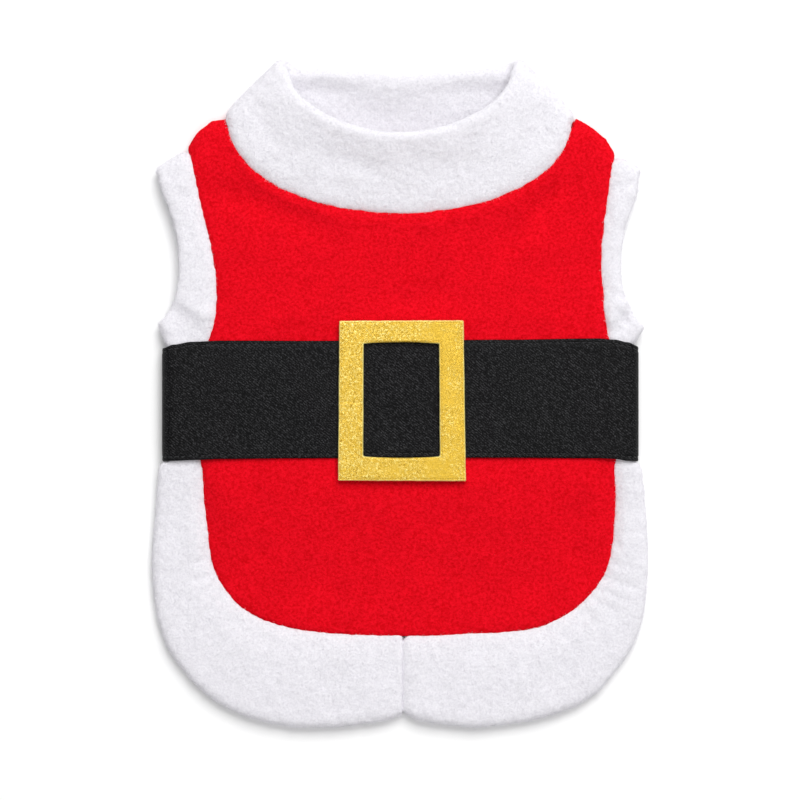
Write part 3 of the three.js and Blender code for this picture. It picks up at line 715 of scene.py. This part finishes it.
def grow_pile(shell, name, material, sizes, density, seed):
    """Short free fibres on a plush shell, as one joined mesh of thin three-sided cones."""
    piece = new_piece(name, shell.data.copy(), material)
    tree = bpy.data.node_groups.new(name, "GeometryNodeTree")
    tree.interface.new_socket("Geometry", in_out="INPUT", socket_type="NodeSocketGeometry")
    tree.interface.new_socket("Geometry", in_out="OUTPUT", socket_type="NodeSocketGeometry")
    source = add_node(tree, "NodeGroupInput")
    normal = add_node(tree, "GeometryNodeInputNormal")
    upward = add_node(
        tree, "ShaderNodeSeparateXYZ", None, None, {"Vector": normal.outputs["Normal"]}
    )
    seen = add_node(
        tree, "FunctionNodeCompare", {"data_type": "FLOAT", "operation": "GREATER_THAN"},
        {"B": PILE_LOWEST}, {"A": upward.outputs["Z"]},
    )
    points = add_node(
        tree, "GeometryNodeDistributePointsOnFaces", None, {"Density": density, "Seed": seed},
        {"Mesh": source.outputs["Geometry"], "Selection": seen.outputs["Result"]},
    )
    fibre = add_node(
        tree, "GeometryNodeMeshCone", {"fill_type": "NONE"},
        {
            "Vertices": 3,
            "Side Segments": 1,
            "Radius Top": FIBRE_TIP,
            "Radius Bottom": sizes.fibre / 2,
            "Depth": sizes.pile,
        },
    )
    tilt = add_node(
        tree, "FunctionNodeRandomValue", {"data_type": "FLOAT_VECTOR"},
        {
            0: (-PILE_LEAN, -PILE_LEAN, 0.0),
            1: (PILE_LEAN, PILE_LEAN, 6.28),
            "Seed": seed + 1,
        },
    )
    size = add_node(
        tree, "FunctionNodeRandomValue", {"data_type": "FLOAT"},
        {2: PILE_LEAST, 3: PILE_GREATEST, "Seed": seed + 2},
    )
    planted = add_node(
        tree, "GeometryNodeInstanceOnPoints", None, None,
        {
            "Points": points.outputs["Points"],
            "Instance": fibre.outputs["Mesh"],
            "Rotation": points.outputs["Rotation"],
            "Scale": size.outputs[1],
        },
    )
    leaning = add_node(
        tree, "GeometryNodeRotateInstances", None, None,
        {"Instances": planted.outputs["Instances"], "Rotation": tilt.outputs["Value"]},
    )
    joined = add_node(
        tree, "GeometryNodeRealizeInstances", None, None,
        {"Geometry": leaning.outputs["Instances"]},
    )
    add_node(tree, "NodeGroupOutput", None, None, {"Geometry": joined.outputs["Geometry"]})
    grow = piece.modifiers.new("pile", "NODES")
    grow.node_group = tree
    applied(piece)
    piece.data.materials.clear()
    piece.data.materials.append(material)
    for vert in piece.data.vertices:
        vert.co.z = max(vert.co.z, 0.0)
    return piece


def settle(piece, slot, *nodes):
    """Puts a finished piece on the suit: it rides on the frame and hides its solids. Its slot is not
    used.
    """
    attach(piece, "root")
    if nodes:
        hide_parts(*nodes)


# Plush pieces: the flat size and the area of what shows of the cut, in metres, what the piece lies
# on, its pile's fibres for each square metre and their seed, and the pieces that it is sewn to
PLUSH_PIECES = {
    "collar": {
        "flat": (0.036, 0.29), "area": 0.0104, "on": ["belly_cloth"], "density": 1.5e6, "seed": 11,
        "sewn_to": ["back_cloth", "belly_cloth"],
    },
    "arm_trim_left": {
        "flat": (0.013, 0.165), "area": 0.0021, "on": ["belly_cloth"], "density": 1.7e6, "seed": 21,
        "sewn_to": ["back_cloth", "belly_cloth"],
    },
    "arm_trim_right": {
        "flat": (0.01, 0.155), "area": 0.0015, "on": ["belly_cloth"], "density": 1.7e6, "seed": 31,
        "sewn_to": ["back_cloth", "belly_cloth"],
    },
    "hem_trim_left": {
        "flat": (0.038, 0.19), "area": 0.0063, "on": ["floor"], "density": 1.7e6, "seed": 41,
        "sewn_to": ["back_cloth"],
    },
    "hem_trim_right": {
        "flat": (0.038, 0.185), "area": 0.0055, "on": ["floor"], "density": 1.7e6, "seed": 51,
        "sewn_to": ["back_cloth", "hem_trim_left_plush"],
    },
}


def make_plush(scene, node, troughs):
    """One plush piece: its shell and its pile."""
    facts, sizes = PLUSH_PIECES[node], scene.suit_sizes
    plush = cloth_material("white_brushed_plush", scene)
    shell = cloth_from(
        node, f"{node}_plush", plush, step=sizes.plush_step, rounds=8, swell=-0.1 * MM
    )
    close_seams(shell, search_trees(facts["sewn_to"]))
    relieve(shell, plush_height(sizes, troughs))
    if node.startswith("hem"):
        flare_below_belt(shell)
    pile = grow_pile(shell, f"{node}_pile", plush, sizes, facts["density"], facts["seed"])
    settle(shell, "white_plush", node)
    settle(pile, "white_plush")


class SUIT_OT_belly(bpy.types.Operator):
    """Makes the hidden red belly panel."""

    bl_idname = "suit.belly"
    bl_label = "Belly panel"

    def execute(self, context):
        sizes = context.scene.suit_sizes
        fleece = cloth_material("red_brushed_fleece", context.scene)
        piece = cloth_from(
            "belly_panel", "belly_cloth", fleece, step=sizes.belly_step, rounds=3, swell=0.2 * MM
        )
        relieve(piece, fleece_height(sizes, BELLY_TROUGHS))
        settle(piece, "red_fleece", "belly_panel")
        return {"FINISHED"}


class SUIT_OT_back(bpy.types.Operator):
    """Makes the red back panel."""

    bl_idname = "suit.back"
    bl_label = "Back panel"

    def execute(self, context):
        sizes = context.scene.suit_sizes
        fleece = cloth_material("red_brushed_fleece", context.scene)
        piece = cloth_from(
            "back_panel", "back_cloth", fleece, step=sizes.back_step, rounds=4, swell=0.3 * MM
        )
        relieve(piece, fleece_height(sizes, BACK_TROUGHS))
        settle(piece, "red_fleece", "back_panel")
        return {"FINISHED"}


class SUIT_OT_collar(bpy.types.Operator):
    """Makes the stand collar of doubled plush."""

    bl_idname = "suit.collar"
    bl_label = "Collar"

    def execute(self, context):
        make_plush(context.scene, "collar", COLLAR_TROUGHS)
        return {"FINISHED"}


class SUIT_OT_armholes(bpy.types.Operator):
    """Makes the plush bands round both armholes."""

    bl_idname = "suit.armholes"
    bl_label = "Armhole bands"

    def execute(self, context):
        for side in ("left", "right"):
            make_plush(context.scene, f"arm_trim_{side}", ARM_TROUGHS)
        return {"FINISHED"}


class SUIT_OT_tail(bpy.types.Operator):
    """Makes the two halves of the tail's plush binding."""

    bl_idname = "suit.tail"
    bl_label = "Tail binding"

    def execute(self, context):
        draw = random.Random(7)
        creases = [row for fan in HEM_FANS for row in fan_creases(fan, draw)]
        for side in ("left", "right"):
            make_plush(context.scene, f"hem_trim_{side}", creases)
        return {"FINISHED"}


# The belt's edges along its upper run, in millimetres
BELT_EDGES = [
    {"x": -101, "near": 19.6, "far": -28.2},
    {"x": -95.7, "near": 21.1, "far": -28},
    {"x": -88, "near": 22.3, "far": -27.7},
    {"x": -75, "near": 22.8, "far": -27.2},
    {"x": -42, "near": 22.7, "far": -26.9},
    {"x": 0, "near": 22.8, "far": -26.7},
    {"x": 45, "near": 23.2, "far": -26.7},
    {"x": 84, "near": 23.7, "far": -26.9},
    {"x": 91, "near": 23.2, "far": -27.2},
    {"x": 96, "near": 22.1, "far": -28},
    {"x": 102, "near": 20.2, "far": -28.3},
]
# Faces round the belt and across it, and how much they crowd towards its edges
BELT_AROUND = 420
BELT_ACROSS = 62
BELT_CROWDING = 0.45
# The belt's surface: a groove under the stitches, edges folded down, a slight pucker along them,
# how far from an edge the waves reach their full height, and how far it all lies below the solid
GROOVE = {"depth": 0.26 * MM, "width": 0.42 * MM}
FOLD = {"depth": 0.35 * MM, "width": 0.5 * MM}
PUCKER = {"height": 0.07 * MM, "pitch": 1.9 * MM, "reach": 3 * MM}
WAVES_FULL = 4 * MM
BELT_BELOW = 0.1 * MM
# How much of the stated thickness the wall has, pressed flat
BELT_PRESSED = 0.85
# A stitch: the share of its pitch that shows, its width and height, how far it stands up, and the
# share of its pitch over which its direction is read
STITCH = {"shows": 0.8, "width": 0.38 * MM, "height": 0.3 * MM, "lift": 0.06 * MM, "ahead": 0.12}


def belt_edge(x, edge):
    """Where one edge of the belt is, at a place along it, in metres."""
    rows = BELT_EDGES
    x = min(max(x / MM, rows[0]["x"]), rows[-1]["x"])
    for low, high in zip(rows, rows[1:]):
        if x <= high["x"]:
            share = eased((x - low["x"]) / (high["x"] - low["x"]))
            return (low[edge] + (high[edge] - low[edge]) * share) * MM
    return rows[-1][edge] * MM


def belt_loop(share):
    """A place on the belt's outer face round its loop, with its outward direction."""
    low, high = BELT_BOX
    round_end = (high.z - low.z) / 2
    run = (high.x - low.x) - 2 * round_end
    whole = 2 * run + 2 * math.pi * round_end
    way = share * whole
    left, right = low.x + round_end, high.x - round_end
    middle = (high.z + low.z) / 2
    if way < run:
        return Vector((left + way, 0, high.z)), Vector((0, 0, 1))
    way -= run
    if way < math.pi * round_end:
        turn = math.pi / 2 - way / round_end
        out = Vector((math.cos(turn), 0, math.sin(turn)))
        return Vector((right, 0, middle)) + out * round_end, out
    way -= math.pi * round_end
    if way < run:
        return Vector((right - way, 0, low.z)), Vector((0, 0, -1))
    turn = -math.pi / 2 - (way - run) / round_end
    out = Vector((math.cos(turn), 0, math.sin(turn)))
    return Vector((left, 0, middle)) + out * round_end, out


def belt_point(share, across, sizes, lift=0.0):
    """A point on the belt's outer face. across runs from 0 at the far edge to 1 at the near one."""
    place, out = belt_loop(share)
    near = belt_edge(place.x, "near")
    far = belt_edge(place.x, "far")
    place.y = far + (near - far) * across
    width = near - far
    inset = min(across, 1 - across) * width
    groove = -GROOVE["depth"] * math.exp(-(((inset - sizes.hem) / GROOVE["width"]) ** 2))
    fold = -FOLD["depth"] * math.exp(-inset / FOLD["width"])
    pucker = PUCKER["height"] * math.sin(place.x / PUCKER["pitch"])
    pucker *= math.exp(-inset / PUCKER["reach"])
    wave = lumps(place, **BELT_SWELL) + lumps(place, **BELT_WAVE)
    wave *= min(inset / WAVES_FULL, 1.0)
    outward = max(out.z, 0.0) * (wave + pucker) + groove + fold - BELT_BELOW + lift
    point = place + out * outward
    point.z = max(point.z, 0.0)
    return point


class SUIT_OT_belt(bpy.types.Operator):
    """Makes the satin belt in one loop, and its two rows of stitches."""

    bl_idname = "suit.belt"
    bl_label = "Belt"

    def execute(self, context):
        scene = context.scene
        sizes = scene.suit_sizes
        ring = bmesh.new()
        bmesh.ops.create_grid(
            ring, x_segments=BELT_AROUND, y_segments=BELT_ACROSS, size=0.5
        )
        for vert in ring.verts:
            crowded = math.sin(math.pi * vert.co.y) * 0.5
            across = 0.5 + BELT_CROWDING * crowded + (1 - BELT_CROWDING) * vert.co.y
            share = (vert.co.x + 0.5) % 1.0
            vert.co = belt_point(share, across, sizes)
        bmesh.ops.remove_doubles(ring, verts=ring.verts, dist=WELD)
        bmesh.ops.recalc_face_normals(ring, faces=ring.faces)
        highest = max(ring.faces, key=lambda face: face.calc_center_median().z)
        if highest.normal.z < 0:
            bmesh.ops.reverse_faces(ring, faces=ring.faces)
        for face in ring.faces:
            face.smooth = True
        mesh = bpy.data.meshes.new("belt_satin")
        ring.to_mesh(mesh)
        ring.free()
        belt = new_piece("belt_satin", mesh, cloth_material("black_twill_satin", scene))
        wall = belt.modifiers.new("doubled satin", "SOLIDIFY")
        wall.thickness = sizes.belt_thick * BELT_PRESSED
        wall.offset = -1.0
        stitches = self.sew(scene)
        settle(belt, "black_satin", "belt")
        settle(stitches, "black_satin")
        return {"FINISHED"}

    def sew(self, scene):
        """Two rows of lockstitches, each a small rounded bar sunk in the hem's groove."""
        sizes = scene.suit_sizes
        low, high = BELT_BOX
        around = 2 * (high.x - low.x)
        count = round(around / sizes.stitch)
        rows = bmesh.new()
        for end in (0, 1):
            for i in range(count):
                share = (i + 0.5) / count
                ahead = (share + STITCH["ahead"] / count) % 1.0
                place, _ = belt_loop(share)
                width = belt_edge(place.x, "near") - belt_edge(place.x, "far")
                across = abs(end - sizes.hem / width)
                middle = belt_point(share, across, sizes, STITCH["lift"])
                way = (belt_point(ahead, across, sizes, STITCH["lift"]) - middle).normalized()
                made = bmesh.ops.create_icosphere(rows, subdivisions=1, radius=0.5)
                turn = Vector((1, 0, 0)).rotation_difference(way).to_matrix()
                for vert in made["verts"]:
                    bar = Vector((
                        vert.co.x * sizes.stitch * STITCH["shows"],
                        vert.co.y * STITCH["width"],
                        vert.co.z * STITCH["height"],
                    ))
                    vert.co = middle + turn @ bar
                    vert.co.z = max(vert.co.z, 0.0)
        for face in rows.faces:
            face.smooth = True
        mesh = bpy.data.meshes.new("belt_stitches")
        rows.to_mesh(mesh)
        rows.free()
        return new_piece("belt_stitches", mesh, cloth_material("black_sewing_thread", scene))


# Corners of the buckle in millimetres, outside and at its window
BUCKLE_CORNERS = {
    "outer": [(-25.6, 31.1), (26.8, 31.3), (27.8, -36.5), (-26.1, -36.3)],
    "window": [(-15.4, 21.5), (16.5, 21.5), (16.8, -26.1), (-15.5, -26.1)],
}


# The line pressed in beside both outlines
PRESSED = {"inset": 0.75 * MM, "width": 0.25 * MM, "depth": 0.12 * MM}
# The wavy crease across the left bar: its place, its wave, its width and depth, and the bar's edge
CREASE = {
    "y": -3.2 * MM, "wave": 0.25 * MM, "pitch": 1.3 * MM,
    "width": 0.45 * MM, "depth": 0.1 * MM, "edge": -15 * MM,
}


def edge_distance(co, corners):
    """How far a place is from the nearest side of a four-sided outline, in metres."""
    best = 1.0
    for (ax, ay), (bx, by) in zip(corners, corners[1:] + corners[:1]):
        a, b = Vector((ax * MM, ay * MM)), Vector((bx * MM, by * MM))
        side = b - a
        share = max(0.0, min(1.0, (co.xy - a).dot(side) / side.length_squared))
        best = min(best, (co.xy - a - side * share).length)
    return best


def inset_of(co):
    """How far a place is from the nearest of the buckle's two outlines."""
    return min(edge_distance(co, corners) for corners in BUCKLE_CORNERS.values())


def foil_height(co, normal):
    """The foil's grain, the line pressed in beside its outlines, and the crease in the left bar."""
    grain = lumps(co, **FOIL_GRAIN) + lumps(co, **FOIL_WAVE)
    pressed = (inset_of(co) - PRESSED["inset"]) / PRESSED["width"]
    sunk = PRESSED["depth"] * math.exp(-(pressed**2))
    if co.x < CREASE["edge"]:
        wave = CREASE["wave"] * math.sin(co.x / CREASE["pitch"])
        bend = (co.y - CREASE["y"] - wave) / CREASE["width"]
        sunk += CREASE["depth"] * math.exp(-(bend**2))
    return grain - max(normal.z, 0.0) * sunk


class SUIT_OT_buckle(bpy.types.Operator):
    """Makes the flat buckle of gold foil on felt."""

    bl_idname = "suit.buckle"
    bl_label = "Buckle"

    def execute(self, context):
        sizes = context.scene.suit_sizes
        foil = cloth_material("gold_foil_on_felt", context.scene)
        piece = cloth_from(
            "buckle", "buckle_foil", foil, step=sizes.foil_step, rounds=1, swell=0.05 * MM
        )

        relieve(piece, foil_height)
        insets = piece.data.attributes.new("inset", "FLOAT", "POINT")
        for vert, item in zip(piece.data.vertices, insets.data):
            item.value = inset_of(vert.co)
        settle(piece, "gold_foil", "buckle")
        return {"FINISHED"}


# The floor reaches this far from the middle, just under the suit
FLOOR_REACH = 3.0
FLOOR_DROP = 0.05 * MM
# The camera, straight above: its height, its place along Y, the width that the square picture takes
# in at the floor, and the sensor, in millimetres, that the lens is worked out for
CAMERA_HEIGHT = 1.6
CAMERA_Y = -2.3 * MM
PHOTO_WIDTH = 0.34
SENSOR_WIDTH = 36.0
LIGHTS = [
    {"name": "key", "place": (0.42, 1.35, 1.9), "size": 1.6, "power": 49.0},
    {"name": "side", "place": (0.5, -0.5, 1.9), "size": 1.2, "power": 6.0},
]
SKY = 0.36


class SUIT_OT_stage(bpy.types.Operator):
    """Makes the pale floor, the soft lights and the camera straight above."""

    bl_idname = "suit.stage"
    bl_label = "Stage"

    def execute(self, context):
        scene = context.scene
        plane = bmesh.new()
        bmesh.ops.create_grid(plane, x_segments=1, y_segments=1, size=FLOOR_REACH)
        for vert in plane.verts:
            vert.co.z = -FLOOR_DROP
        mesh = bpy.data.meshes.new("floor")
        plane.to_mesh(mesh)
        plane.free()
        new_piece("floor", mesh, cloth_material("matt_studio_paper", scene))
        for row in LIGHTS:
            lamp = bpy.data.lights.new(row["name"], "AREA")
            lamp.size = row["size"]
            lamp.energy = row["power"]
            light = bpy.data.objects.new(row["name"], lamp)
            light.location = row["place"]
            toward = -Vector(row["place"])
            light.rotation_euler = toward.to_track_quat("-Z", "Y").to_euler()
            scene.collection.objects.link(light)
        world = bpy.data.worlds.new("soft sky")
        world.use_nodes = True
        sky = world.node_tree.nodes["Background"]
        sky.inputs["Color"].default_value = (1.0, 1.0, 1.0, 1.0)
        sky.inputs["Strength"].default_value = SKY
        scene.world = world
        scene.view_settings.view_transform = "Standard"
        eye = bpy.data.cameras.new("camera")
        eye.sensor_width = SENSOR_WIDTH
        eye.lens = SENSOR_WIDTH * CAMERA_HEIGHT / PHOTO_WIDTH
        eye.clip_end = 10.0
        camera = bpy.data.objects.new("camera", eye)
        camera.location = (0.0, CAMERA_Y, CAMERA_HEIGHT)
        scene.collection.objects.link(camera)
        scene.camera = camera
        return {"FINISHED"}


class SUIT_PT_panel(bpy.types.Panel):
    """Lists the suit's pieces in the sidebar."""

    bl_label = "Santa suit"
    bl_idname = "SUIT_PT_panel"
    bl_space_type = "VIEW_3D"
    bl_region_type = "UI"
    bl_category = "Santa suit"

    def draw(self, context):
        for operator in OPERATORS:
            self.layout.operator(operator.bl_idname)
        for group in (context.scene.suit_sizes, context.scene.suit_colours):
            for name in group.bl_rna.properties.keys():
                if name not in ("rna_type", "name"):
                    self.layout.prop(group, name)


OPERATORS = (
    SUIT_OT_stage,
    SUIT_OT_belly,
    SUIT_OT_back,
    SUIT_OT_collar,
    SUIT_OT_armholes,
    SUIT_OT_tail,
    SUIT_OT_belt,
    SUIT_OT_buckle,
)
CLASSES = (SuitSizes, SuitColours, *OPERATORS, SUIT_PT_panel)


def register():
    for kind in CLASSES:
        bpy.utils.register_class(kind)
    bpy.types.Scene.suit_sizes = bpy.props.PointerProperty(type=SuitSizes)
    bpy.types.Scene.suit_colours = bpy.props.PointerProperty(type=SuitColours)


def unregister():
    del bpy.types.Scene.suit_colours
    del bpy.types.Scene.suit_sizes
    for kind in reversed(CLASSES):
        bpy.utils.unregister_class(kind)


def main():
    """Registers the add-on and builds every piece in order."""
    register()
    bpy.ops.suit.stage()
    bpy.ops.suit.belly()
    bpy.ops.suit.back()
    bpy.ops.suit.collar()
    bpy.ops.suit.armholes()
    bpy.ops.suit.tail()
    bpy.ops.suit.belt()
    bpy.ops.suit.buckle()


if __name__ == "__main__":
    main()
